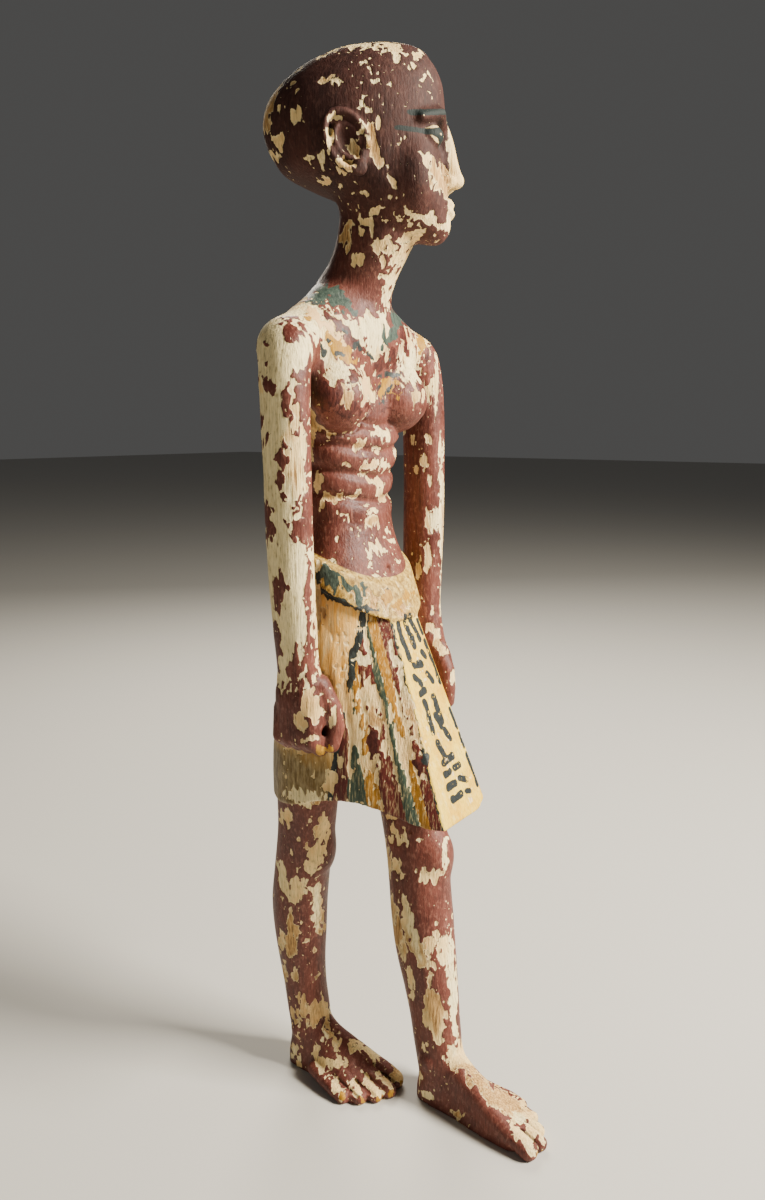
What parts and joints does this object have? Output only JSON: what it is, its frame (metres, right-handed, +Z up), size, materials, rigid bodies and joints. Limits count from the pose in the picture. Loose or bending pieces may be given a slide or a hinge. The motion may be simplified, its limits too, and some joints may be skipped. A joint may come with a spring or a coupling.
{
  "type": "statue",
  "caption": "Carved and painted wooden statue of a striding priest in a pleated kilt, with arms at the sides and a shaven head turned to the left.",
  "frame": {"origin": "on the ground plane under the middle of the figure's bounding box", "axes": "+Z up, the chest faces -Y, the figure's right hand is at -X and its left hand at +X"},
  "size_m": [0.172, 0.2148, 0.703],
  "materials": {
    "painted_wood": "flaked red-brown paint over white gesso and bare wood"
  },
  "bodies": {
    "root": {"priest_figure": "painted_wood"}
  },
  "joints": []
}
